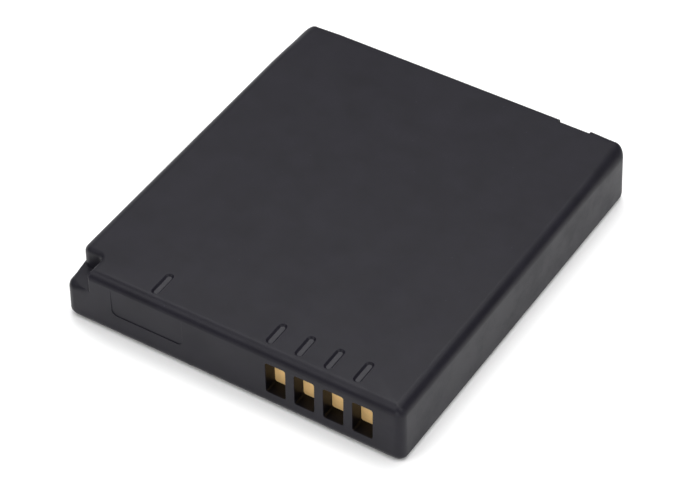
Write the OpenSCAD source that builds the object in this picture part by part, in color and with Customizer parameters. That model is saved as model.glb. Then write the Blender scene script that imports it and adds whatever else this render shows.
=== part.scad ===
/* [Case] */
// Width of the case across the foot of its walls
case_w = 36.05; // [33:0.05:46]
// Length of the case from the contact end to the back
case_l = 40.75; // [34:0.05:60]
// Thickness of the whole pack
case_h = 6.4; // [6.1:0.1:12]
// Thickness of the side walls at their foot
side_wall = 0.8; // [0.6:0.05:1.4]
// Thickness of the contact end wall
front_wall = 1.1; // [1:0.05:1.3]
// Thickness of the back wall
back_wall = 1.1; // [1:0.05:2]
// Thickness of the top panel
top_panel = 0.6; // [0.4:0.05:1]
// Lean of each wall from its foot to the top, for release from the mould
draft = 0.14; // [0:0.01:0.3]

/* [Case edges] */
// Radius of the upright corners at the contact end, seen from above
corner_r = 1.0; // [0.95:0.05:2.4]
// Radius of the upright corners at the back, seen from above
back_corner_r = 1.25; // [0.95:0.05:2.4]
// Rounding of the long top edges
side_edge_r = 1.1; // [0.5:0.05:1.3]
// Rounding that the long top edges grow to at the back corners
back_side_edge_r = 1.45; // [0.5:0.05:1.5]
// Length over which a long top edge grows before its back corner
side_edge_run = 5.8; // [1:0.1:8]
// Rounding of the top edge at the contact end
front_edge_r = 0.95; // [0.3:0.05:1]
// Rounding of the back top edge beside its corners
back_turn_edge_r = 0.65; // [0.2:0.05:0.8]
// Rounding of the back top edge along its middle
back_edge_r = 0.45; // [0.2:0.05:0.5]
// Length over which the back top edge tightens from each corner
back_edge_run = 3.2; // [1:0.1:5]
// Rounding of the long bottom edges
base_side_r = 0.7; // [0.2:0.05:0.75]
// Rounding of the short bottom edges
base_end_r = 0.85; // [0.2:0.05:0.9]

/* [Key notch] */
// Width of the notch in the contact end's left corner
notch_w = 2.6; // [2.2:0.05:3.6]
// Length of the notch along the side
notch_l = 2.6; // [2.4:0.05:3.2]
// Depth of the notch from the top to the shelf it leaves
notch_depth = 2.3; // [1.8:0.1:3]
// Rounding of the shelf's outer edge
shelf_edge_r = 0.7; // [0.1:0.05:0.8]
// Rounding of the top edge along the notch
notch_edge_r = 0.5; // [0.1:0.05:0.55]
// Radius of the notch's upright edge on the long side
notch_side_r = 1.15; // [0.5:0.05:1.4]
// Radius of the notch's inner upright corner
notch_inner_r = 0.5; // [0.2:0.05:0.8]
// Radius of the notch's upright edge on the contact end
notch_front_r = 0.35; // [0.2:0.05:1]
// Thickness of the case wall behind and beside the notch
notch_wall = 0.65; // [0.4:0.05:0.8]

/* [Front pocket] */
// Distance from the left side to the pocket
pocket_inset = 5.25; // [4.8:0.05:7]
// Width of the shallow pocket in the contact end
pocket_w = 7.75; // [3:0.05:8.4]
// Height of the pocket from its sill to the top
pocket_h = 3.9; // [2.4:0.1:4.6]
// Depth of the pocket's upright floor behind the foot of the wall
pocket_depth = 0.13; // [0.1:0.01:0.25]
// Radius of the pocket's lower corners
pocket_r = 0.6; // [0.3:0.1:1.4]

/* [Contact windows] */
// Width of one window
window_w = 2.1; // [1.6:0.01:2.4]
// Distance from the top down to the windows
window_drop = 1.3; // [0.8:0.05:1.4]
// Height of the window sills
window_sill = 1.6; // [1.5:0.05:2]
// Distance between the middles of neighbouring windows
window_pitch = 3; // [2.8:0.01:3.1]
// Distance from the right side to the middle of the last window
window_inset = 4.1; // [3.6:0.01:4.6]
// Depth from the contact end's face to the contacts
window_depth = 1.55; // [1.35:0.05:2.2]
// Radius of the window corners
window_r = 0.24; // [0.05:0.01:0.4]

/* [Top grooves] */
// Width of one groove at the top panel's face
groove_w = 0.85; // [0.6:0.05:1]
// Width of a groove's flat floor
groove_floor_w = 0.45; // [0.2:0.05:0.5]
// Length of one groove
groove_l = 2.75; // [1:0.05:4]
// Depth of one groove
groove_depth = 0.2; // [0.05:0.01:0.35]
// Distance from the contact end to the grooves
groove_set_back = 1.25; // [0.8:0.05:3]
// Distance from a window's middle to the groove beside it
groove_offset = 1.41; // [1.1:0.01:1.6]
// Distance from the left side to the lone groove
lone_groove_inset = 9.4; // [6:0.05:12]
// Extra length of the lone groove, towards the contact end
lone_groove_extra = 0.15; // [0:0.05:0.6]

/* [Back notch] */
// Width of the notch in the back top edge
back_notch_w = 3.4; // [1:0.05:5]
// Distance from the right side to the notch
back_notch_inset = 3.95; // [2.4:0.05:8]
// Depth of the notch below the top
back_notch_depth = 0.54; // [0.2:0.01:0.58]
// Length of the notch into the back edge
back_notch_l = 0.8; // [0.3:0.05:0.85]

/* [Base cover] */
// Thickness of the base cover
cover_t = 0.6; // [0.4:0.05:0.8]
// Clearance round the base cover
cover_gap = 0.05; // [0.02:0.01:0.15]
// Height of the locating lips on the base cover
lip_h = 0.6; // [0.3:0.05:1]
// Thickness of the locating lips
lip_t = 0.3; // [0.2:0.05:0.4]
// Length of one locating lip
lip_l = 7; // [3:0.5:7.5]
// Depth of the ledges that the cover rests on
ledge_t = 0.35; // [0.2:0.05:0.4]
// Length of one ledge
ledge_l = 3; // [1.5:0.5:4]
// Height of one ledge
ledge_h = 0.8; // [0.4:0.1:1.2]
// Distance between the middles of neighbouring ledges
ledge_pitch = 12; // [11.7:0.1:13]

/* [Cell] */
// Gap between the cell and each side wall
cell_side_gap = 0.45; // [0.45:0.05:1]
// Radius of the cell's long edges
cell_edge_r = 1.8; // [1.5:0.1:2.2]
// Radius of the edges round the cell's closed end
cell_end_r = 0.5; // [0.2:0.1:1]
// Gap between the circuit board and the thermal fuse's outer strip
fuse_gap = 0.46; // [0.4:0.02:1]
// Thickness of the foam at the cell's closed end
end_pad_t = 0.3; // [0.15:0.05:1]
// Thickness of the adhesive tape above the cell
tape_t = 0.15; // [0.1:0.01:0.3]
// Thickness of the foam pad below the cell
pad_t = 0.2; // [0.1:0.01:0.4]
// Distance from the cell's edges to the tape and pad
tape_inset = 3; // [2.5:0.1:6]
// Distance from the cell's edges to the groove of the lid's weld
weld_inset = 0.3; // [0.2:0.05:0.5]
// Width of the weld's groove
weld_w = 0.16; // [0.08:0.01:0.25]
// Depth of the weld's groove
weld_depth = 0.06; // [0.02:0.01:0.2]

/* [Cell terminal] */
// Length of the insulating gasket under the terminal
gasket_l = 4.4; // [4:0.1:4.6]
// Distance from the cell's flat sides to the gasket
gasket_inset = 1.1; // [0.95:0.05:1.2]
// Thickness of the gasket
gasket_t = 0.3; // [0.2:0.01:0.35]
// Length of the terminal's head
terminal_l = 3.4; // [2.4:0.1:3.6]
// Distance from the gasket's long edges to the terminal's head
terminal_inset = 0.4; // [0.3:0.05:0.6]
// Height of the terminal's head above the gasket
terminal_t = 0.2; // [0.15:0.01:0.25]
// Radius of the terminal's rivet as a share of the head's width
rivet_share = 0.32; // [0.2:0.01:0.4]
// Depth of the rivet into the gasket
rivet_depth = 0.15; // [0.05:0.01:0.18]
// Radius of the plug in the filling hole
plug_r = 0.45; // [0.3:0.05:0.6]
// Depth of the filling hole
plug_depth = 0.4; // [0.2:0.05:0.8]
// Height of the plug above the lid
plug_rise = 0.1; // [0.05:0.01:0.12]
// Distance from the cell's right side to the middle of the filling hole
plug_inset = 4.1; // [3.6:0.1:4.6]
// Thickness of the insulating sheet on the cell's lid
insulator_t = 0.15; // [0.1:0.01:0.2]
// Distance from the cell's edges to the insulating sheet
insulator_inset = 0.7; // [0.6:0.05:0.9]

/* [Circuit board] */
// Thickness of the circuit board
board_t = 0.8; // [0.6:0.05:1]
// Clearance round the circuit board
board_gap = 0.15; // [0.05:0.01:0.3]
// Distance from the right side to the end of the board
board_inset = 1.5; // [1.3:0.1:2]
// Width of one contact plate
contact_w = 2.6; // [2.5:0.01:2.7]
// Overlap of a contact plate above and below its window
contact_lap = 0.08; // [0.04:0.01:0.1]
// Thickness of one contact plate
contact_t = 0.3; // [0.15:0.01:0.4]
// Width of the posts that hold the board
post_w = 1; // [0.6:0.1:1.2]
// Distance from the notch's wall to the board's middle pad
board_pad_x = 9; // [4:0.5:14]
// Clearance between the board and the parts that hold it
seat_gap = 0.04; // [0.02:0.01:0.1]

/* [Board parts] */
// Body length, width and height of the protection chip
chip_size = [2.9, 1.6, 0.95];
// Legs along each side of the protection chip
chip_legs = 3; // [2:1:3]
// Length of the chip's legs beyond its body
chip_leg_l = 0.5; // [0.3:0.05:0.6]
// Length of the switching transistors' package
mosfet_l = 2.6; // [2.4:0.1:3]
// Height of the transistor package
mosfet_t = 0.9; // [0.7:0.05:1]
// Legs along each side of the transistor package
mosfet_legs = 4; // [2:1:4]
// Distance from the board's long edges to the ends of those legs
mosfet_inset = 0.5; // [0.3:0.05:0.8]
// Length of the transistor package's legs beyond its body
mosfet_leg_l = 0.45; // [0.3:0.05:0.5]
// Length, width and height of the temperature sensor
thermistor_size = [1.6, 0.8, 0.7];
// Length, width and height of one resistor
resistor_size = [1, 0.5, 0.35];
// Length, width and height of one capacitor
capacitor_size = [1, 0.5, 0.5];
// Length of the metal cap on each end of a small part
end_cap_l = 0.25; // [0.15:0.01:0.3]
// Share of the free length left of the terminal that lies before the protection chip
chip_share = 0.27; // [0.2:0.01:0.3]
// Share of it between the chip and the temperature sensor
thermistor_share = 0.14; // [0.1:0.01:0.18]
// Share of it between the sensor and the can strip's solder pad
can_land_share = 0.44; // [0.4:0.01:0.48]
// Share of the free length right of the terminal that lies before the thermal fuse
fuse_share = 0.25; // [0.2:0.01:0.3]
// Share of it between the fuse and its strip's solder pad
fuse_land_share = 0.45; // [0.4:0.01:0.48]
// Share of it between that solder pad and the transistors' package
mosfet_share = 0.15; // [0.1:0.01:0.18]
// Distance from the board's long edge to the middle of the temperature sensor
thermistor_inset = 1.15; // [0.8:0.05:1.5]
// Distance between neighbouring resistors
resistor_pitch = 1.5; // [1.2:0.1:2]
// Distance between neighbouring capacitors
capacitor_pitch = 2.4; // [1.2:0.1:3.2]
// Distance from the board's long edges to the middles of the small parts
small_part_inset = 0.75; // [0.5:0.05:0.9]

/* [Strips] */
// Thickness of the nickel strips
strip_t = 0.12; // [0.08:0.01:0.15]
// Distance from the gasket's long edges to the edges of the nickel strips
strip_inset = 0.22; // [0.15:0.01:0.5]
// Length of the solder pads under the strips' ends
land_l = 2; // [1.4:0.1:2.2]
// Thickness of the solder pads
land_t = 0.06; // [0.03:0.01:0.1]
// Length of the thermal fuse's body
fuse_l = 3.6; // [2.5:0.1:3.8]
// Distance from the strips' edges to the thermal fuse's body
fuse_inset = 0.1; // [0.05:0.01:0.3]
// Thickness of the thermal fuse's body
fuse_t = 0.3; // [0.2:0.01:0.32]
// Length of the can's strip on the lid
can_weld_l = 2.6; // [2:0.1:3]

/* [Hidden] */
$fn = 48;
half_w = case_w / 2;
half_l = case_l / 2;
face_y = -half_l;
cut_over = 1;
run_steps = 4;
corner_steps = 8;
notch_steps = 6;
base_steps = 5;
shelf_steps = 3;
top_steps = 8;
// Height above the shelf at which an unnotched wall takes its next point
wall_step = 0.1;
// Share of the shelf's width that its rounded edge may take
shelf_share = 0.3;
// Stretch of the left wall that the notch's side edge spreads over, below the notch
side_spread = 0.9;
// Least turn that an upright edge keeps where its top rounding is wider than its radius
least_turn = 0.1;

inner_x = half_w - side_wall;
inner_front = face_y + front_wall;
inner_back = half_l - back_wall;
inner_top = case_h - top_panel;
cavity_r = 0.5;
shelf_z = case_h - notch_depth;
pocket_sill = case_h - pocket_h;
window_h = case_h - window_drop - window_sill;
cover_l = inner_back - inner_front;
cover_y = (inner_back + inner_front) / 2;

contact_names = ["positive", "data", "thermistor", "negative"];
contact_count = len(contact_names);
window_mid_z = window_sill + window_h / 2;
contact_h = window_h + 2 * contact_lap;
comb_w = (contact_count - 1) * window_pitch + contact_w + 2 * board_gap;

contact_y = face_y + window_depth;
board_front = contact_y + contact_t;
board_back = board_front + board_t;
header_y = board_back + fuse_gap + 2 * strip_t + fuse_t + terminal_t + gasket_t;
notch_wall_x = -half_w + notch_w + notch_wall;
board_left = notch_wall_x + board_gap;
board_right = half_w - board_inset;
board_low = cover_t + board_gap;
board_high = inner_top - board_gap;
board_mid_z = (board_low + board_high) / 2;
board_h = board_high - board_low;

cell_x = inner_x - cell_side_gap;
cell_low = cover_t + pad_t;
cell_high = inner_top - tape_t;
cell_t = cell_high - cell_low;
cell_mid_z = (cell_low + cell_high) / 2;
cell_back = inner_back - end_pad_t;
cell_mid_y = (header_y + cell_back) / 2;
lid_r = cell_edge_r - weld_inset;

gasket_w = cell_t - 2 * gasket_inset;
terminal_w = gasket_w - 2 * terminal_inset;
terminal_r = terminal_w / 5;
rivet_r = rivet_share * terminal_w;
strip_w = gasket_w - 2 * strip_inset;
fuse_w = strip_w - 2 * fuse_inset;
plug_x = cell_x - plug_inset;

mosfet_size = [mosfet_l, board_h - 2 * (mosfet_inset + mosfet_leg_l), mosfet_t];
thermistor_z = board_high - thermistor_inset;
left_room = -terminal_l / 2 - notch_wall_x - post_w - chip_size[0] - thermistor_size[0]
    - land_l;
right_room = board_right - post_w - terminal_l / 2 - fuse_l - land_l - mosfet_l;
chip_x = (terminal_l + chip_size[0]) / 2 + chip_share * left_room;
thermistor_x = chip_x + (chip_size[0] + thermistor_size[0]) / 2
    + thermistor_share * left_room;
can_land_x = thermistor_x + (thermistor_size[0] + land_l) / 2 + can_land_share * left_room;
fuse_x = (terminal_l + fuse_l) / 2 + fuse_share * right_room;
fuse_land_x = fuse_x + (fuse_l + land_l) / 2 + fuse_land_share * right_room;
mosfet_x = fuse_land_x + (land_l + mosfet_l) / 2 + mosfet_share * right_room;

gasket_face = header_y - gasket_t;
strip_face = gasket_face - terminal_t;
insulator_face = header_y - insulator_t;
fuse_face = strip_face - strip_t;
fuse_strip_face = fuse_face - fuse_t;
land_face = board_back + land_t;
leg_t = 0.15;
leg_w = 0.3;
chip_leg_pitch = 0.95;
mosfet_leg_pitch = 0.65;
cap_skin = 0.02;
board_r = 0.3;
plate_r = 0.2;
foil_r = 0.4;
sheet_gap = 0.1;

// Middle of a window, counted from the left
function window_x(index) =
    half_w - window_inset - (contact_count - 1 - index) * window_pitch;

// Inward lean of a wall at a height
function lean(z) = draft * z / case_h;

// Eased share from 0 to 1
function eased(share) = share * share * (3 - 2 * share);

// Unit vector at an angle from +X
function heading(angle) = [cos(angle), sin(angle)];

function mix(a, b, share) = a + (b - a) * share;

// Bottom rounding, by how far the wall faces an end
function base_rounding(normal) = mix(base_side_r, base_end_r, normal[1] * normal[1]);

// Point of a turn [sharp corner, its facing along x and y, radius, normal], set in from both walls.
// The radius is 0 on a straight wall and below 0 in an inner corner.
function turn_point(turn, depths) =
    let(left = [for (depth = depths)
        turn[2] > 0 ? max(least_turn, turn[2] - depth) : turn[2] - depth])
    [for (axis = [0, 1]) turn[0][axis] - turn[1][axis] * (depths[axis] + left[axis])
        + turn[3][axis] * left[axis]];

// A station of the outline: wall point, wall normal, upper turn, and its top rounding on the
// walls that face the sides and the ends
function plain_station(turn, roundings) =
    [turn_point(turn, [0, 0]), turn[3], turn, roundings];

function straight_station(point, normal, top_r) =
    plain_station([point, [0, 0], 0, normal], [top_r, top_r]);

// Stations round an upright corner of the case
function corner_stations(x_sign, y_sign, start, r, roundings) =
    [for (step = [0:corner_steps])
        plain_station([[x_sign * half_w, y_sign * half_l], [x_sign, y_sign], r,
            heading(start + 90 * step / corner_steps)], roundings)];

// Stations where a long top edge grows towards a back corner
function side_run_stations(x_sign, steps) =
    [for (step = steps)
        let(share = step / run_steps)
        straight_station([x_sign * half_w, half_l - back_corner_r - side_edge_run * share],
            [x_sign, 0], mix(back_side_edge_r, side_edge_r, eased(share)))];

// Stations where the back top edge tightens from a corner
function back_run_stations(x_sign, steps) =
    [for (step = steps)
        let(share = step / run_steps)
        straight_station([x_sign * (half_w - back_corner_r - back_edge_run * share), half_l],
            [0, 1], mix(back_turn_edge_r, back_edge_r, eased(share)))];

notch_x = -half_w + notch_w;
notch_y = face_y + notch_l;
notch_inner_x = notch_x - notch_inner_r;
notch_facing = [-1, -1];
notch_side_y = notch_y + notch_side_r;
spread_y = notch_y - side_spread;

// The notch's upright edge on the long side, over the wall below it
side_edge_stations =
    [for (step = [0:notch_steps])
        let(share = step / notch_steps)
        [[-half_w, mix(notch_side_y, spread_y, share)], [-1, 0],
            [[-half_w, notch_y], notch_facing, notch_side_r, heading(180 + 90 * share)],
            [side_edge_r, notch_edge_r]]];

// The notch's inner corner, over the case's own upright corner
inner_corner_stations =
    [for (step = [0:notch_steps])
        let(share = step / notch_steps, below = heading(180 + 90 * share))
        [[corner_r - half_w, corner_r - half_l] + corner_r * below, below,
            [[notch_x, notch_y], notch_facing, -notch_inner_r, heading(270 - 90 * share)],
            [notch_edge_r, notch_edge_r]]];

// The notch's upright edge on the contact end
front_edge_stations =
    [for (step = [0:notch_steps])
        let(share = step / notch_steps)
        [[mix(notch_inner_x, notch_x + notch_front_r, share), face_y], [0, -1],
            [[notch_x, face_y], notch_facing, notch_front_r, heading(180 + 90 * share)],
            [notch_edge_r, front_edge_r]]];

// The whole outline, anticlockwise from the right side
stations = concat(
    side_run_stations(1, [run_steps:-1:1]),
    corner_stations(1, 1, 0, back_corner_r, [back_side_edge_r, back_turn_edge_r]),
    back_run_stations(1, [1:run_steps]),
    back_run_stations(-1, [run_steps:-1:1]),
    corner_stations(-1, 1, 90, back_corner_r, [back_side_edge_r, back_turn_edge_r]),
    side_run_stations(-1, [1:run_steps]),
    side_edge_stations,
    inner_corner_stations,
    front_edge_stations,
    corner_stations(1, -1, 270, corner_r, [side_edge_r, front_edge_r]));

function raised(point, z) = [point[0], point[1], z];

// Points of the skin from the underside to the top at one station
function skin_column(station) =
    let(wall = station[0], out = station[1], turn = station[2], roundings = station[3],
        base_r = base_rounding(out),
        top_r = mix(roundings[0], roundings[1], turn[3][1] * turn[3][1]),
        ledge = norm(wall - turn_point(turn, [0, 0])),
        shelf_r = min(shelf_edge_r, shelf_share * ledge),
        upper_z = shelf_z + (ledge > 0 ? 0 : wall_step))
    concat(
        [for (step = [0:base_steps])
            let(angle = 90 * step / base_steps)
            raised(wall - out * (lean(base_r) + base_r * (1 - sin(angle))),
                base_r * (1 - cos(angle)))],
        [for (step = [0:shelf_steps])
            let(angle = 90 * step / shelf_steps,
                z = shelf_z - shelf_edge_r * (1 - sin(angle)))
            raised(wall - out * (lean(z) + shelf_r * (1 - cos(angle))), z)],
        [raised(turn_point(turn, [lean(upper_z), lean(upper_z)]), upper_z)],
        [for (step = [0:top_steps])
            let(angle = 90 * step / top_steps,
                depths = [for (r = roundings) lean(case_h - r) + r * (1 - cos(angle))])
            raised(turn_point(turn, depths), case_h - top_r * (1 - sin(angle)))]);

// The case's outer form, lofted through its stations
module outer_skin() {
    columns = [for (station = stations) skin_column(station)];
    around = len(columns);
    rings = len(columns[0]);
    points = concat([for (column = columns) each column], [[0, 0, 0], [0, 0, case_h]]);
    low_middle = around * rings;
    high_middle = low_middle + 1;
    walls = [for (i = [0:around - 1], j = [0:rings - 2])
        let(a = i * rings + j, b = ((i + 1) % around) * rings + j)
        each [[a, a + 1, b + 1], [a, b + 1, b]]];
    caps = [for (i = [0:around - 1])
        let(a = i * rings, b = ((i + 1) % around) * rings)
        each [[low_middle, a, b], [high_middle, b + rings - 1, a + rings - 1]]];
    polyhedron(points = points, faces = concat(walls, caps));
}

// Flat rectangle with round corners, about its middle
module round_rectangle(w, h, r) {
    square([w - 2 * r, h], center = true);
    square([w, h - 2 * r], center = true);
    for (x_sign = [-1, 1], y_sign = [-1, 1])
        translate([x_sign * (w / 2 - r), y_sign * (h / 2 - r)]) circle(r = r);
}

// Slab with round upright corners, standing on its low face
module round_slab(w, l, h, r) {
    linear_extrude(h) round_rectangle(w, l, r);
}

// Bar along +Y with a round-cornered section, starting at its front face
module round_bar(w, l, h, r) {
    translate([0, l, 0]) rotate([90, 0, 0]) linear_extrude(l) round_rectangle(w, h, r);
}

// Box between two opposite corners
module box_between(low, high) {
    translate(low) cube(high - low);
}

// Box about a middle x and z, between two planes along Y
module end_block(x, w, z_low, z_high, y_low, y_high) {
    box_between([x - w / 2, y_low, z_low], [x + w / 2, y_high, z_high]);
}

// The pieces of the case that stand into its cavity
module inner_features() {
    // walls round the key notch
    box_between([-half_w, face_y, shelf_z - notch_wall],
        [notch_wall_x, face_y + notch_l + notch_wall, case_h]);
    // comb behind the contact windows
    end_block((window_x(0) + window_x(contact_count - 1)) / 2, comb_w, cover_t, case_h,
        face_y, contact_y);
    // posts between the board and the cell
    for (x = [notch_wall_x + post_w / 2, board_right - post_w / 2])
        end_block(x, post_w, board_low, case_h, board_back + seat_gap,
            insulator_face - seat_gap);
    // pads between the contact end and the board
    for (x = [notch_wall_x + post_w / 2, notch_wall_x + board_pad_x])
        end_block(x, post_w, board_low, case_h, face_y, board_front - seat_gap);
    // ledges that the base cover rests on
    for (x_sign = [-1, 1], index = [-1:1])
        end_block(x_sign * half_w, 2 * (side_wall + ledge_t), cover_t, cover_t + ledge_h,
            cover_y + index * ledge_pitch - ledge_l / 2,
            cover_y + index * ledge_pitch + ledge_l / 2);
}

// The room inside the case, open at the underside
module cavity() {
    difference() {
        intersection() {
            translate([0, cover_y, -cut_over])
                round_slab(2 * inner_x, cover_l, inner_top + cut_over, cavity_r);
            translate([0, inner_front - cut_over, 0])
                round_bar(2 * inner_x, cover_l + 2 * cut_over, 2 * inner_top, cavity_r);
        }
        inner_features();
    }
}

// Windows through which the camera's springs reach the contacts
module contact_windows() {
    for (index = [0:contact_count - 1])
        translate([window_x(index), face_y - cut_over, window_mid_z])
            round_bar(window_w, window_depth + 2 * cut_over, window_h, window_r);
}

// Groove with sloped sides and round ends, from its middle line's near end
module groove(x, y, length) {
    half_floor = groove_floor_w / 2;
    slope = (groove_w - groove_floor_w) / 2 / groove_depth;
    cut_h = groove_depth + cut_over;
    half_top = half_floor + slope * cut_h;
    straight = length - groove_w;
    translate([x, y + groove_w / 2, case_h - groove_depth]) {
        for (along = [0, straight])
            translate([0, along, 0]) cylinder(h = cut_h, r1 = half_floor, r2 = half_top);
        translate([0, straight, 0]) rotate([90, 0, 0]) linear_extrude(straight)
            polygon([[-half_floor, 0], [half_floor, 0], [half_top, cut_h],
                [-half_top, cut_h]]);
    }
}

module top_grooves() {
    near_y = face_y + groove_set_back;
    for (index = [0:contact_count - 1])
        groove(window_x(index) - groove_offset, near_y, groove_l);
    groove(lone_groove_inset - half_w, near_y - lone_groove_extra,
        groove_l + lone_groove_extra);
}

// Shallow pocket with an upright floor, which runs out where the leaning wall passes it
module front_pocket() {
    cut_h = pocket_h + pocket_r;
    translate([-half_w + pocket_inset + pocket_w / 2, face_y + pocket_depth - cut_over,
        pocket_sill + cut_h / 2])
        round_bar(pocket_w, cut_over, cut_h, pocket_r);
}

module back_notch() {
    translate([half_w - back_notch_inset - back_notch_w, half_l - back_notch_l,
        case_h - back_notch_depth])
        cube([back_notch_w, back_notch_l + cut_over, back_notch_depth + cut_over]);
}

module case_shell() {
    color([0.23, 0.23, 0.24]) difference() {
        outer_skin();
        cavity();
        contact_windows();
        top_grooves();
        front_pocket();
        back_notch();
    }
}

// Flat cover welded into the open underside, with lips that locate it
module base_cover() {
    lip_x = inner_x - cover_gap - lip_t / 2;
    color([0.2, 0.2, 0.21]) {
        translate([0, cover_y, 0])
            round_slab(2 * (inner_x - cover_gap), cover_l - 2 * cover_gap, cover_t,
                cavity_r - cover_gap);
        for (x_sign = [-1, 1], y_sign = [-1, 1])
            translate([x_sign * lip_x - lip_t / 2,
                cover_y + y_sign * ledge_pitch / 2 - lip_l / 2, cover_t])
                cube([lip_t, lip_l, lip_h]);
    }
}

// Sealed prismatic cell, with its lid welded in at the front
module cell_can() {
    length = cell_back - header_y;
    over = cut_over + cell_end_r;
    color([0.75, 0.76, 0.78]) difference() {
        intersection() {
            translate([0, header_y, cell_mid_z])
                round_bar(2 * cell_x, length, cell_t, cell_edge_r);
            translate([0, cell_back - (length + over) / 2, cell_low - cut_over])
                round_slab(2 * cell_x, length + over, cell_t + 2 * cut_over, cell_end_r);
            translate([-cell_x - cut_over, cell_back - (length + over) / 2, cell_mid_z])
                rotate([90, 0, 90]) linear_extrude(2 * (cell_x + cut_over))
                    round_rectangle(length + over, cell_t, cell_end_r);
        }
        // groove of the lid's weld
        translate([0, header_y - cut_over, cell_mid_z]) difference() {
            round_bar(2 * (cell_x - weld_inset), cut_over + weld_depth,
                cell_t - 2 * weld_inset, lid_r);
            translate([0, -cut_over, 0])
                round_bar(2 * (cell_x - weld_inset - weld_w), 3 * cut_over + weld_depth,
                    cell_t - 2 * (weld_inset + weld_w), lid_r - weld_w);
        }
        // filling hole
        translate([plug_x, header_y + plug_depth, cell_mid_z])
            rotate([90, 0, 0]) cylinder(h = plug_depth + cut_over, r = plug_r + seat_gap);
    }
}

// Moulded gasket that keeps the terminal off the lid
module terminal_gasket() {
    color([0.12, 0.12, 0.13]) difference() {
        translate([0, gasket_face, cell_mid_z])
            round_bar(gasket_l, gasket_t, gasket_w, foil_r);
        translate([0, gasket_face + rivet_depth, cell_mid_z])
            rotate([90, 0, 0]) cylinder(h = rivet_depth + cut_over, r = rivet_r + seat_gap);
    }
}

// Terminal head with its rivet in the gasket
module negative_terminal() {
    color([0.8, 0.79, 0.76]) translate([0, strip_face, cell_mid_z]) {
        round_bar(terminal_l, terminal_t, terminal_w, terminal_r);
        translate([0, terminal_t + rivet_depth, 0])
            rotate([90, 0, 0]) cylinder(h = rivet_depth + terminal_t / 2, r = rivet_r);
    }
}

// Plug pressed into the filling hole
module fill_plug() {
    color([0.7, 0.7, 0.72]) translate([plug_x, header_y + plug_depth, cell_mid_z])
        rotate([90, 0, 0]) cylinder(h = plug_depth + plug_rise, r = plug_r);
}

// Sheet over the lid, open at the terminal, the plug and the can's strip
module header_insulator() {
    color([0.93, 0.91, 0.84]) difference() {
        translate([0, insulator_face, cell_mid_z])
            round_bar(2 * (cell_x - insulator_inset), insulator_t,
                cell_t - 2 * insulator_inset, cell_edge_r - insulator_inset);
        translate([0, insulator_face - cut_over, cell_mid_z]) {
            round_bar(gasket_l + 2 * sheet_gap, insulator_t + 2 * cut_over,
                gasket_w + 2 * sheet_gap, foil_r);
            translate([-thermistor_x - sheet_gap, 0, 0])
                round_bar(can_weld_l + 6 * sheet_gap, insulator_t + 2 * cut_over,
                    strip_w + 2 * sheet_gap, foil_r);
        }
        translate([plug_x, header_y + cut_over, cell_mid_z])
            rotate([90, 0, 0])
                cylinder(h = insulator_t + 2 * cut_over, r = plug_r + sheet_gap);
    }
}

// Thin sheet on one of the cell's flat sides
module flat_sheet(z_low, z_high) {
    translate([0, cell_mid_y, z_low])
        round_slab(2 * (cell_x - tape_inset), cell_back - header_y - 2 * tape_inset,
            z_high - z_low, foil_r);
}

module upper_tape() {
    color([0.9, 0.9, 0.88]) flat_sheet(cell_high, inner_top);
}

module lower_pad() {
    color([0.3, 0.3, 0.32]) flat_sheet(cover_t, cell_low);
}

// Foam between the cell's closed end and the back wall
module end_pad() {
    color([0.25, 0.25, 0.27]) translate([0, cell_back, cell_mid_z])
        round_bar(2 * (cell_x - tape_inset), end_pad_t, cell_t - 2 * cell_end_r - foil_r,
            foil_r);
}

module circuit_board() {
    color([0.1, 0.35, 0.2])
        translate([(board_left + board_right) / 2, board_front, board_mid_z])
            round_bar(board_right - board_left, board_t, board_high - board_low, board_r);
}

// Gilt plate soldered to the board behind one window
module contact_plate(index) {
    color([0.83, 0.66, 0.35]) translate([window_x(index), contact_y, window_mid_z])
        round_bar(contact_w, contact_t, contact_h, plate_r);
}

module contact_positive() { contact_plate(0); }
module contact_data() { contact_plate(1); }
module contact_thermistor() { contact_plate(2); }
module contact_negative() { contact_plate(3); }

// Moulded package on the board, with a row of legs above and below it
module leaded_package(x, size, legs, pitch, leg_l) {
    translate([x, board_back, board_mid_z]) {
        round_bar(size[0], size[2], size[1], 2 * leg_t / 3);
        for (index = [0:legs - 1])
            end_block((index - (legs - 1) / 2) * pitch, leg_w, -size[1] / 2 - leg_l,
                size[1] / 2 + leg_l, 0, leg_t);
    }
}

module protection_chip() {
    color([0.1, 0.1, 0.11])
        leaded_package(-chip_x, chip_size, chip_legs, chip_leg_pitch, chip_leg_l);
}

module mosfet_pair() {
    color([0.1, 0.1, 0.11])
        leaded_package(mosfet_x, mosfet_size, mosfet_legs, mosfet_leg_pitch, mosfet_leg_l);
}

// Small part with a metal cap on each end
module capped_part(x, z, size) {
    translate([x, board_back, z]) {
        end_block(0, size[0] - end_cap_l, cap_skin - size[1] / 2, size[1] / 2 - cap_skin,
            0, size[2] - cap_skin);
        for (side = [-1, 1])
            end_block(side * (size[0] - end_cap_l) / 2, end_cap_l, -size[1] / 2,
                size[1] / 2, 0, size[2]);
    }
}

module thermistor() {
    color([0.18, 0.2, 0.22])
        capped_part(-thermistor_x, thermistor_z, thermistor_size);
}

module resistors() {
    color([0.08, 0.08, 0.09]) for (index = [-1:1])
        capped_part(index * resistor_pitch, board_high - small_part_inset, resistor_size);
}

module capacitors() {
    color([0.62, 0.5, 0.36]) for (side = [-1, 1])
        capped_part(side * capacitor_pitch / 2, board_low + small_part_inset,
            capacitor_size);
}

// Pads of solder between the board and the strips' ends
module solder_lands() {
    color([0.78, 0.78, 0.8]) for (x = [fuse_land_x, -can_land_x])
        end_block(x, land_l, cell_mid_z - strip_w / 2, cell_mid_z + strip_w / 2,
            board_back, land_face);
}

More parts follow.
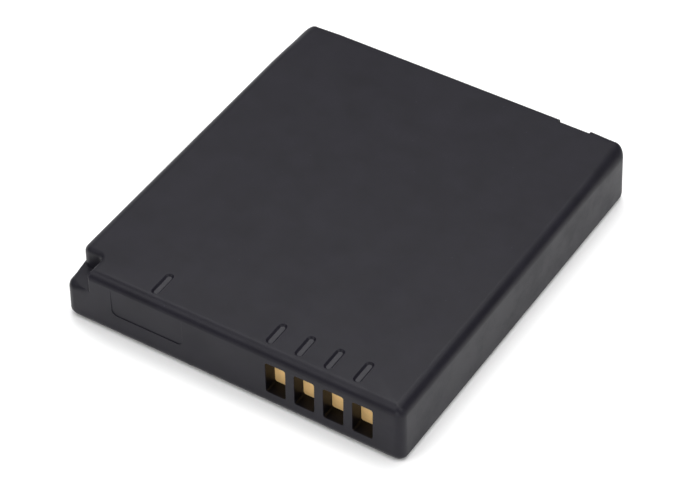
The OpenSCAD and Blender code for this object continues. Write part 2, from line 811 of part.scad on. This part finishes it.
module thermal_fuse() {
    color([0.2, 0.2, 0.2]) translate([fuse_x, fuse_strip_face, cell_mid_z])
        round_bar(fuse_l, fuse_t, fuse_w, plate_r);
}

// Strip whose route, seen from above, runs through points on its board side
module strip_along(route) {
    far = [for (index = [len(route) - 1:-1:0]) route[index] + [0, strip_t]];
    color([0.76, 0.75, 0.72]) translate([0, 0, cell_mid_z - strip_w / 2])
        linear_extrude(strip_w) polygon(concat(route, far));
}

module negative_strip() {
    strip_along([[-terminal_l / 2, fuse_face], [fuse_x + fuse_l / 2, fuse_face]]);
}

module fuse_strip() {
    outer = fuse_strip_face - strip_t;
    strip_along([[fuse_x - fuse_l / 2, outer], [fuse_x + fuse_l / 2, outer],
        [fuse_land_x - land_l / 2, land_face], [fuse_land_x + land_l / 2, land_face]]);
}

module can_strip() {
    lid_side = header_y - strip_t;
    strip_along([[-can_land_x - land_l / 2, land_face], [-can_land_x + land_l / 2, land_face],
        [-thermistor_x - can_weld_l / 2, lid_side],
        [-thermistor_x + can_weld_l / 2, lid_side]]);
}

// Pad that carries the negative strip above the lid's sheet
module strip_insulator() {
    low = gasket_l / 2 + sheet_gap;
    high = fuse_x + fuse_l / 2;
    color([0.85, 0.7, 0.3]) translate([(low + high) / 2, strip_face, cell_mid_z])
        round_bar(high - low, insulator_face - strip_face, strip_w + 2 * sheet_gap, plate_r);
}

case_shell();
base_cover();
cell_can();
terminal_gasket();
negative_terminal();
fill_plug();
header_insulator();
upper_tape();
lower_pad();
end_pad();
circuit_board();
contact_positive();
contact_data();
contact_thermistor();
contact_negative();
protection_chip();
mosfet_pair();
thermistor();
resistors();
capacitors();
solder_lands();
thermal_fuse();
negative_strip();
fuse_strip();
can_strip();
strip_insulator();
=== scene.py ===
import math

import bpy
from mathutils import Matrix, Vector


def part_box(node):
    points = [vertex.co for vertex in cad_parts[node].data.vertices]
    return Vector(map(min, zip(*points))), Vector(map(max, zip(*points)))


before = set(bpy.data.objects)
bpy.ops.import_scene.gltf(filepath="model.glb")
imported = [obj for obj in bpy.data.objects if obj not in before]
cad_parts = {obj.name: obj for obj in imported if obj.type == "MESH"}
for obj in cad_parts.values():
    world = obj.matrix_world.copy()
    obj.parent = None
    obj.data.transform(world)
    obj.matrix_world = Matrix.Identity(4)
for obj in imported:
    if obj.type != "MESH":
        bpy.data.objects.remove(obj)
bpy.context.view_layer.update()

MM = 0.001

# Camera, as fitted to the photograph's outline and edges. Angles are in degrees.
CAMERA_AZIMUTH = 33.374
CAMERA_ELEVATION = 43.511
CAMERA_ROLL = 1.482
CAMERA_DISTANCE = 259.151 * MM
AIM_RIGHT = 0.273 * MM
AIM_DOWN = 0.223 * MM
FOCAL_PIXELS = 2772.0
PICTURE_WIDTH = 699
SENSOR_WIDTH = 36.0
CLIP_START = 1 * MM
CLIP_END = 10


def camera_axes():
    """The camera's right, down and forward axes; azimuth 0 looks along +Y."""
    azimuth, elevation, roll = (
        math.radians(a) for a in (CAMERA_AZIMUTH, CAMERA_ELEVATION, CAMERA_ROLL)
    )
    forward = -Vector((
        math.sin(azimuth) * math.cos(elevation),
        -math.cos(azimuth) * math.cos(elevation),
        math.sin(elevation),
    ))
    level = forward.cross(Vector((0, 0, 1))).normalized()
    plumb = forward.cross(level)
    right = math.cos(roll) * level + math.sin(roll) * plumb
    down = math.cos(roll) * plumb - math.sin(roll) * level
    return right, down, forward


def make_camera():
    right, down, forward = camera_axes()
    data = bpy.data.cameras.new("camera")
    data.sensor_width = SENSOR_WIDTH
    data.sensor_fit = "HORIZONTAL"
    data.lens = FOCAL_PIXELS / PICTURE_WIDTH * SENSOR_WIDTH
    data.clip_start = CLIP_START
    data.clip_end = CLIP_END
    camera = bpy.data.objects.new("camera", data)
    bpy.context.scene.collection.objects.link(camera)
    place = -(AIM_RIGHT * right + AIM_DOWN * down) - CAMERA_DISTANCE * forward
    matrix = camera.matrix_world.copy()
    for row in range(3):
        matrix[row][0] = right[row]
        matrix[row][1] = -down[row]
        matrix[row][2] = -forward[row]
        matrix[row][3] = place[row]
    camera.matrix_world = matrix
    bpy.context.scene.camera = camera


make_camera()


# Lights and floor
WHITE = (1, 1, 1, 1)
FLOOR_HALF = 0.9
FLOOR_COLOUR = (0.92, 0.92, 0.92, 1)
FLOOR_ROUGHNESS = 0.8
FLOOR_SPECULAR = 0.1
WORLD_LEVEL = 0.02
BOX_DISTANCE = 0.9
BOX_SIZE = 0.5
# Each soft box: the direction it stands in, as degrees from +X towards +Y and above the
# floor, and its power
SOFT_BOXES = {
    "zenith": (0, 90, 2.3),
    "camera_side": (292, 12, 3.8),
    "right": (0, 36, 1.95),
    "right_high": (0, 62, 1.5),
    "back_right_high": (60, 62, 1.9),
    "back_left_high": (120, 62, 3.7),
    "front_left_high": (238, 64, 1.5),
    "front_left": (234, 44, 1.9),
    "left_back": (160, 36, 0.8),
    "left_back_low": (140, 14, 0.5),
}


def soft_box(name, around, above, power):
    """A square light that faces the origin from a direction."""
    data = bpy.data.lights.new(name, "AREA")
    data.shape = "SQUARE"
    data.size = BOX_SIZE
    data.energy = power
    light = bpy.data.objects.new(name, data)
    around, above = math.radians(around), math.radians(above)
    direction = Vector((
        math.cos(above) * math.cos(around),
        math.cos(above) * math.sin(around),
        math.sin(above),
    ))
    light.location = BOX_DISTANCE * direction
    light.rotation_euler = (-direction).to_track_quat("-Z", "Y").to_euler()
    bpy.context.scene.collection.objects.link(light)


def make_stage():
    mesh = bpy.data.meshes.new("floor")
    h = FLOOR_HALF
    mesh.from_pydata([(-h, -h, 0), (h, -h, 0), (h, h, 0), (-h, h, 0)], [], [(0, 1, 2, 3)])
    floor = bpy.data.objects.new("floor", mesh)
    bpy.context.scene.collection.objects.link(floor)
    material = bpy.data.materials.new("floor_paper")
    material.use_nodes = True
    sockets = material.node_tree.nodes["Principled BSDF"].inputs
    sockets["Base Color"].default_value = FLOOR_COLOUR
    sockets["Roughness"].default_value = FLOOR_ROUGHNESS
    sockets["Specular IOR Level"].default_value = FLOOR_SPECULAR
    mesh.materials.append(material)


def make_lights():
    world = bpy.data.worlds.new("studio")
    bpy.context.scene.world = world
    world.use_nodes = True
    sockets = world.node_tree.nodes["Background"].inputs
    sockets["Color"].default_value = WHITE
    sockets["Strength"].default_value = WORLD_LEVEL
    for name, (around, above, power) in SOFT_BOXES.items():
        soft_box(name, around, above, power)
    bpy.context.scene.view_settings.view_transform = "Standard"


make_stage()
make_lights()


# Materials. Tones are linear red, green and blue, and lengths are in metres.

# Length after which a wave texture of scale 1 repeats
WAVE_REPEAT = 0.314
# Levels of a noise between which most of its values lie
NOISE_LOW = 0.3
NOISE_HIGH = 0.7


def shade(tone, factor):
    return tuple(factor * channel for channel in tone)


class Recipe:
    """Builds one node material a step at a time. A share is a value from 0 to 1."""

    def __init__(self, name):
        self.material = bpy.data.materials.new(name)
        self.material.use_nodes = True
        self.tree = self.material.node_tree
        self.sockets = self.tree.nodes["Principled BSDF"].inputs
        self.place = self.add("ShaderNodeTexCoord").outputs["Object"]

    def add(self, kind, **settings):
        node = self.tree.nodes.new(kind)
        for key, value in settings.items():
            setattr(node, key, value)
        return node

    def link(self, output, target):
        self.tree.links.new(output, target)

    def set(self, **values):
        """Sets the shader's sockets, each named with _ for a space."""
        for key, value in values.items():
            self.sockets[key.replace("_", " ")].default_value = value

    def drive(self, **outputs):
        """Links outputs to the shader's sockets, each named with _ for a space."""
        for key, output in outputs.items():
            self.link(output, self.sockets[key.replace("_", " ")])

    def maths(self, operation, first, *others):
        """A math node on an output and, after it, on outputs or plain numbers."""
        node = self.add("ShaderNodeMath", operation=operation)
        self.link(first, node.inputs[0])
        for socket, other in zip(node.inputs[1:], others):
            if isinstance(other, bpy.types.NodeSocket):
                self.link(other, socket)
            else:
                socket.default_value = other
        return node.outputs["Value"]

    def coordinate(self, axis, vector=None):
        split = self.add("ShaderNodeSeparateXYZ")
        self.link(vector or self.place, split.inputs["Vector"])
        return split.outputs[axis]

    def face_normal(self):
        return self.add("ShaderNodeNewGeometry").outputs["Normal"]

    def noise(self, size, detail=4.0, roughness=0.55, stretch=(1, 1, 1)):
        """Noise whose largest features are about size across, and finer by stretch."""
        mapping = self.add("ShaderNodeMapping")
        mapping.inputs["Scale"].default_value = [s / size for s in stretch]
        self.link(self.place, mapping.inputs["Vector"])
        node = self.add("ShaderNodeTexNoise")
        node.inputs["Scale"].default_value = 1.0
        node.inputs["Detail"].default_value = detail
        node.inputs["Roughness"].default_value = roughness
        self.link(mapping.outputs["Vector"], node.inputs["Vector"])
        return node.outputs["Fac"]

    def cells(self, size):
        """Distance from the middle of the nearest round cell, in cell widths."""
        node = self.add("ShaderNodeTexVoronoi", feature="F1")
        node.inputs["Scale"].default_value = 1 / size
        self.link(self.place, node.inputs["Vector"])
        return node.outputs["Distance"]

    def waves(self, size, direction):
        """Soft bands across a direction, one every size."""
        node = self.add("ShaderNodeTexWave", bands_direction=direction)
        node.inputs["Scale"].default_value = WAVE_REPEAT / size
        self.link(self.place, node.inputs["Vector"])
        return node.outputs["Fac"]

    def spread(self, value, low, high, low_in=NOISE_LOW, high_in=NOISE_HIGH):
        """Turns values from low_in to high_in into values from low to high."""
        node = self.add("ShaderNodeMapRange")
        for socket, number in zip(
            ("From Min", "From Max", "To Min", "To Max"), (low_in, high_in, low, high)
        ):
            node.inputs[socket].default_value = number
        self.link(value, node.inputs["Value"])
        return node.outputs["Result"]

    def patches(self, size, bare, full, detail=6.0, roughness=0.55):
        """Share that rises from 0 to 1 between two levels of a noise."""
        return self.spread(self.noise(size, detail, roughness), 0, 1, bare, full)

    def near(self, axis, middle, reach, vector=None):
        """Share of 1 where a coordinate lies within reach of a value."""
        return self.maths("COMPARE", self.coordinate(axis, vector), middle, reach)

    def facing_up(self):
        return self.near("Z", 1, 0.05, self.face_normal())

    def worn_edge(self, radius):
        """Share of 1 along sharp edges, broken up by a noise, and 0 on flat faces."""
        turned = self.add("ShaderNodeVectorMath", operation="DOT_PRODUCT")
        self.link(self.edge(radius), turned.inputs[0])
        self.link(self.face_normal(), turned.inputs[1])
        return self.product(
            self.spread(turned.outputs["Value"], 1, 0, 0.9, 0.99),
            self.patches(0.5 * MM, 0.4, 0.65, detail=5),
        )

    def product(self, *shares):
        result = shares[0]
        for share in shares[1:]:
            result = self.maths("MULTIPLY", result, share)
        return result

    def blend(self, share, first, second):
        """The first tone where the share is 0, and the second where it is 1."""
        node = self.add("ShaderNodeMix", data_type="RGBA")
        node.inputs["A"].default_value = (*first, 1)
        node.inputs["B"].default_value = (*second, 1)
        self.link(share, node.inputs["Factor"])
        return node.outputs["Result"]

    def clouded(self, cloud, tone, darkest):
        """A tone, darkened down to a factor where a noise is low."""
        return self.blend(self.spread(cloud, 0, 1), shade(tone, darkest), tone)

    def cover(self, share, below, tone):
        """A tone laid over another colour by a share."""
        node = self.add("ShaderNodeMix", data_type="RGBA")
        self.link(below, node.inputs["A"])
        node.inputs["B"].default_value = (*tone, 1)
        self.link(share, node.inputs["Factor"])
        return node.outputs["Result"]

    def edge(self, radius):
        """Normal that rounds sharp edges off by a small radius."""
        node = self.add("ShaderNodeBevel")
        node.inputs["Radius"].default_value = radius
        return node.outputs["Normal"]

    def bump(self, height, depth, strength, below=None):
        """Normal of a height's relief, laid over another normal."""
        node = self.add("ShaderNodeBump")
        node.inputs["Distance"].default_value = depth
        node.inputs["Strength"].default_value = strength
        self.link(height, node.inputs["Height"])
        if below is not None:
            self.link(below, node.inputs["Normal"])
        return node.outputs["Normal"]


# Case plastic: the sizes of its patterns, and their tones as factors of the case's tone
GRAIN_SIZE = 0.16 * MM
GRAIN_DEPTH = 0.004 * MM
WAVE_SIZE = 9 * MM
WAVE_DEPTH = 0.02 * MM
MOTTLE_SIZE = 3.2 * MM
MOTTLE_DARK = 0.84
MOTTLE_LIGHT = 1.18
RUBBED_SIZE = 5 * MM
SPECK_SPACING = 1.9 * MM
SPECK_FACTOR = 2.2
WORN_RADIUS = 0.22 * MM
WORN_FACTOR = 1.5
CASE_SPECULAR = 0.155
CASE_ROUGHNESS = 0.37
CASE_ROUGHNESS_RUBBED = 0.45
CASE_EDGE_RADIUS = 0.07 * MM
# Dust on the grooves' floors, which lie at this height
GROOVE_FLOOR_Z = 6.2 * MM
GROOVE_FLOOR_REACH = 0.03 * MM
DUST_SIZE = 0.4 * MM
DUST_TONE = (0.030, 0.029, 0.034)
# Painted shade in the contact windows: middle and reach of the room behind them, along each axis
WINDOW_SPANS = (
    ("X", 9.4 * MM, 6.1 * MM),
    ("Y", -19.5 * MM, 0.75 * MM),
    ("Z", 3.35 * MM, 1.85 * MM),
)
# Factor of the case's tone for the painted shade in the room behind the contact windows
WINDOW_SHADE_FACTOR = 0.3


def case_plastic(name, tone):
    """Dark moulded plastic: a fine spark-eroded grain, slow waves, a faint mottle, wear, and
    painted shade deep in the contact windows.
    """
    r = Recipe(name)
    grain = r.noise(GRAIN_SIZE, detail=4)
    waves = r.noise(WAVE_SIZE, detail=2)
    mottle = r.noise(MOTTLE_SIZE, detail=6, roughness=0.6)
    rubbed = r.patches(RUBBED_SIZE, 0.45, 0.62, roughness=0.7)
    specks = r.spread(r.cells(SPECK_SPACING), 1, 0, 0.02, 0.05)
    worn = r.worn_edge(WORN_RADIUS)
    dust = r.product(
        r.near("Z", GROOVE_FLOOR_Z, GROOVE_FLOOR_REACH),
        r.facing_up(),
        r.spread(r.noise(DUST_SIZE), 0.7, 1),
    )
    # Painted shade: the base colour is darkened in the room behind the contact windows, where
    # shade falls
    painted_window_shade = r.product(*[r.near(*span) for span in WINDOW_SPANS])
    plain = r.blend(r.spread(mottle, 0, 1), shade(tone, MOTTLE_DARK), shade(tone, MOTTLE_LIGHT))
    specked = r.cover(specks, plain, shade(tone, SPECK_FACTOR))
    edged = r.cover(worn, specked, shade(tone, WORN_FACTOR))
    dusty = r.cover(dust, edged, DUST_TONE)
    slow = r.bump(waves, WAVE_DEPTH, 0.5, r.edge(CASE_EDGE_RADIUS))
    r.set(Specular_IOR_Level=CASE_SPECULAR)
    r.drive(
        Base_Color=r.cover(painted_window_shade, dusty, shade(tone, WINDOW_SHADE_FACTOR)),
        Roughness=r.spread(rubbed, CASE_ROUGHNESS, CASE_ROUGHNESS_RUBBED, 0, 1),
        Normal=r.bump(grain, GRAIN_DEPTH, 0.5, slow),
    )
    return r.material


def metal(name, tone, roughness, stretch, size=0.25 * MM, metallic=1.0):
    """Metal with drawn or rolled lines along its shortest stretch, clouded and scuffed."""
    line_depth, edge_radius, scuffed_more = 0.002 * MM, 0.03 * MM, 0.14
    r = Recipe(name)
    lines = r.noise(size, detail=5, stretch=stretch)
    cloud = r.noise(1.5 * MM, detail=4)
    scuffs = r.patches(0.6 * MM, 0.5, 0.66, roughness=0.75)
    r.set(Metallic=metallic)
    r.drive(
        Base_Color=r.clouded(cloud, tone, 0.8),
        Roughness=r.spread(scuffs, roughness, roughness + scuffed_more, 0, 1),
        Normal=r.bump(lines, line_depth, 0.5, r.edge(edge_radius)),
    )
    return r.material


def solid(name, tone, roughness, size=0.8 * MM, depth=0.008 * MM):
    """Plastic, resin or paper: a mottle, and a bump of a finer grain."""
    finer, roughness_swing, edge_radius = 6, 0.06, 0.03 * MM
    r = Recipe(name)
    cloud = r.noise(size, detail=5)
    fine = r.noise(size / finer, detail=3)
    r.drive(
        Base_Color=r.clouded(cloud, tone, 0.85),
        Roughness=r.spread(cloud, roughness - roughness_swing, roughness + roughness_swing),
        Normal=r.bump(fine, depth, 0.5, r.edge(edge_radius)),
    )
    return r.material


def foam(name, tone):
    """Closed-cell foam: bubbles cut open at the surface."""
    bubble_size, bubble_depth, bubble_factor = 0.18 * MM, 0.04 * MM, 0.45
    r = Recipe(name)
    bubbles = r.cells(bubble_size)
    r.drive(
        Base_Color=r.blend(r.spread(bubbles, 0, 1, 0.1, 0.55), shade(tone, bubble_factor), tone),
        Roughness=r.spread(bubbles, 0.8, 0.95, 0, 0.6),
        Normal=r.bump(bubbles, bubble_depth, 0.7),
    )
    return r.material


def board_mask(name, tone):
    """Solder mask over woven glass laminate."""
    weave_size, weave_depth, edge_radius = 0.35 * MM, 0.006 * MM, 0.05 * MM
    r = Recipe(name)
    weave = r.product(r.waves(weave_size, "X"), r.waves(weave_size, "Z"))
    cloud = r.noise(1.2 * MM, detail=4)
    r.drive(
        Base_Color=r.clouded(cloud, tone, 0.7),
        Roughness=r.spread(cloud, 0.22, 0.34),
        Normal=r.bump(weave, weave_depth, 0.4, r.edge(edge_radius)),
    )
    return r.material


def capped(name, tone, pitch, middle, half_body):
    """Small surface-mounted parts in a row along X: a coated body between tinned ends."""
    seam, grain_depth, edge_radius = 0.01 * MM, 0.006 * MM, 0.04 * MM
    r = Recipe(name)
    in_pitch = r.maths("WRAP", r.coordinate("X"), middle + pitch / 2, middle - pitch / 2)
    from_middle = r.maths("ABSOLUTE", r.maths("SUBTRACT", in_pitch, middle))
    on_cap = r.spread(from_middle, 0, 1, half_body - seam, half_body + seam)
    cloud = r.noise(0.2 * MM, detail=4)
    r.drive(
        Base_Color=r.blend(on_cap, tone, TIN_TONE),
        Metallic=on_cap,
        Roughness=r.spread(cloud, 0.32, 0.48),
        Normal=r.bump(cloud, grain_depth, 0.5, r.edge(edge_radius)),
    )
    return r.material


# Shading
SMOOTH_LIMIT = math.radians(36)
WELD_DISTANCE = 0.0005 * MM
# Weighted Normal's top setting, with which the largest face sets the normal
LARGEST_FACE_ONLY = 100


def smooth_group():
    """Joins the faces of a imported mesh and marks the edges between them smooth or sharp."""
    tree = bpy.data.node_groups.new("joined_and_smooth", "GeometryNodeTree")
    tree.interface.new_socket("Geometry", in_out="INPUT", socket_type="NodeSocketGeometry")
    tree.interface.new_socket("Geometry", in_out="OUTPUT", socket_type="NodeSocketGeometry")
    start = tree.nodes.new("NodeGroupInput")
    end = tree.nodes.new("NodeGroupOutput")
    weld = tree.nodes.new("GeometryNodeMergeByDistance")
    weld.inputs["Distance"].default_value = WELD_DISTANCE
    angle = tree.nodes.new("GeometryNodeInputMeshEdgeAngle")
    flat = tree.nodes.new("FunctionNodeCompare")
    flat.data_type = "FLOAT"
    flat.operation = "LESS_EQUAL"
    flat.inputs[1].default_value = SMOOTH_LIMIT
    faces = tree.nodes.new("GeometryNodeSetShadeSmooth")
    faces.domain = "FACE"
    edges = tree.nodes.new("GeometryNodeSetShadeSmooth")
    edges.domain = "EDGE"
    link = tree.links.new
    link(start.outputs[0], weld.inputs["Geometry"])
    link(weld.outputs["Geometry"], faces.inputs["Geometry"])
    link(faces.outputs["Geometry"], edges.inputs["Geometry"])
    link(angle.outputs["Unsigned Angle"], flat.inputs[0])
    link(flat.outputs["Result"], edges.inputs["Shade Smooth"])
    link(edges.outputs["Geometry"], end.inputs[0])
    return tree


joined_and_smooth = smooth_group()


def dress(node, material):
    """Gives a node its material, and smooth normals that keep its flat faces flat."""
    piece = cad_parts[node]
    piece.data.materials.clear()
    piece.data.materials.append(material)
    piece.modifiers.new("joined_and_smooth", "NODES").node_group = joined_and_smooth
    normals = piece.modifiers.new("flat_faces", "WEIGHTED_NORMAL")
    normals.keep_sharp = True
    normals.weight = LARGEST_FACE_ONLY


# Tones
CASE_TONE = (0.0092, 0.0085, 0.0126)
GILT_TONE = (0.97, 0.64, 0.27)
NICKEL_TONE = (0.66, 0.63, 0.58)
ALUMINIUM_TONE = (0.74, 0.75, 0.77)
STEEL_TONE = (0.58, 0.58, 0.6)
SOLDER_TONE = (0.7, 0.7, 0.72)
TIN_TONE = (0.62, 0.61, 0.6)
RESIN_TONE = (0.02, 0.02, 0.022)
FUSE_TONE = (0.06, 0.06, 0.06)
FOAM_TONE = (0.05, 0.05, 0.055)
PAPER_TONE = (0.8, 0.76, 0.66)
TAPE_TONE = (0.78, 0.78, 0.74)
AMBER_TONE = (0.65, 0.4, 0.08)
MASK_TONE = (0.012, 0.11, 0.045)
THERMISTOR_TONE = (0.03, 0.035, 0.04)
RESISTOR_TONE = (0.03, 0.03, 0.035)
CAPACITOR_TONE = (0.42, 0.3, 0.19)

# Rows of small parts
RESISTOR_PITCH = 1.5 * MM
CAPACITOR_PITCH = 2.4 * MM
SMALL_PART_HALF_BODY = 0.25 * MM
THERMISTOR_HALF_BODY = 0.55 * MM
THERMISTOR_PITCH = 4 * MM


def middle_x(node):
    low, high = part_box(node)
    return (low[0] + high[0]) / 2


gilt = metal("gilt", GILT_TONE, 0.45, (1, 1, 12), metallic=0.2)
nickel = metal("nickel", NICKEL_TONE, 0.28, (0.1, 1, 6))
resin = solid("chip_resin", RESIN_TONE, 0.5, 0.4 * MM, 0.006 * MM)
foam_material = foam("foam", FOAM_TONE)
COATS = {
    "case_shell": case_plastic("case_plastic", CASE_TONE),
    "base_cover": case_plastic("cover_plastic", CASE_TONE),
    "cell_can": metal("cell_aluminium", ALUMINIUM_TONE, 0.3, (8, 0.2, 8)),
    "terminal_gasket": solid("gasket_plastic", RESIN_TONE, 0.45),
    "negative_terminal": nickel,
    "fill_plug": metal("steel", STEEL_TONE, 0.25, (4, 1, 4), 0.1 * MM),
    "header_insulator": solid("insulating_paper", PAPER_TONE, 0.85, 0.3 * MM, 0.02 * MM),
    "upper_tape": solid("tape", TAPE_TONE, 0.6, 2 * MM, 0.02 * MM),
    "lower_pad": foam_material,
    "end_pad": foam_material,
    "circuit_board": board_mask("board_laminate", MASK_TONE),
    "contact_positive": gilt,
    "contact_data": gilt,
    "contact_thermistor": gilt,
    "contact_negative": gilt,
    "protection_chip": resin,
    "mosfet_pair": resin,
    "thermistor": capped("thermistor_coat", THERMISTOR_TONE, THERMISTOR_PITCH,
                         middle_x("thermistor"), THERMISTOR_HALF_BODY),
    "resistors": capped("resistor_black", RESISTOR_TONE, RESISTOR_PITCH, 0,
                        SMALL_PART_HALF_BODY),
    "capacitors": capped("part_ceramic", CAPACITOR_TONE, CAPACITOR_PITCH,
                         CAPACITOR_PITCH / 2, SMALL_PART_HALF_BODY),
    "solder_lands": metal("solder", SOLDER_TONE, 0.25, (1, 1, 1), 0.3 * MM),
    "thermal_fuse": solid("fuse_polymer", FUSE_TONE, 0.55, 0.5 * MM),
    "negative_strip": nickel,
    "fuse_strip": nickel,
    "can_strip": nickel,
    "strip_insulator": solid("amber_film", AMBER_TONE, 0.25, 1 * MM, 0.004 * MM),
}
for node_name, coat in COATS.items():
    dress(node_name, coat)
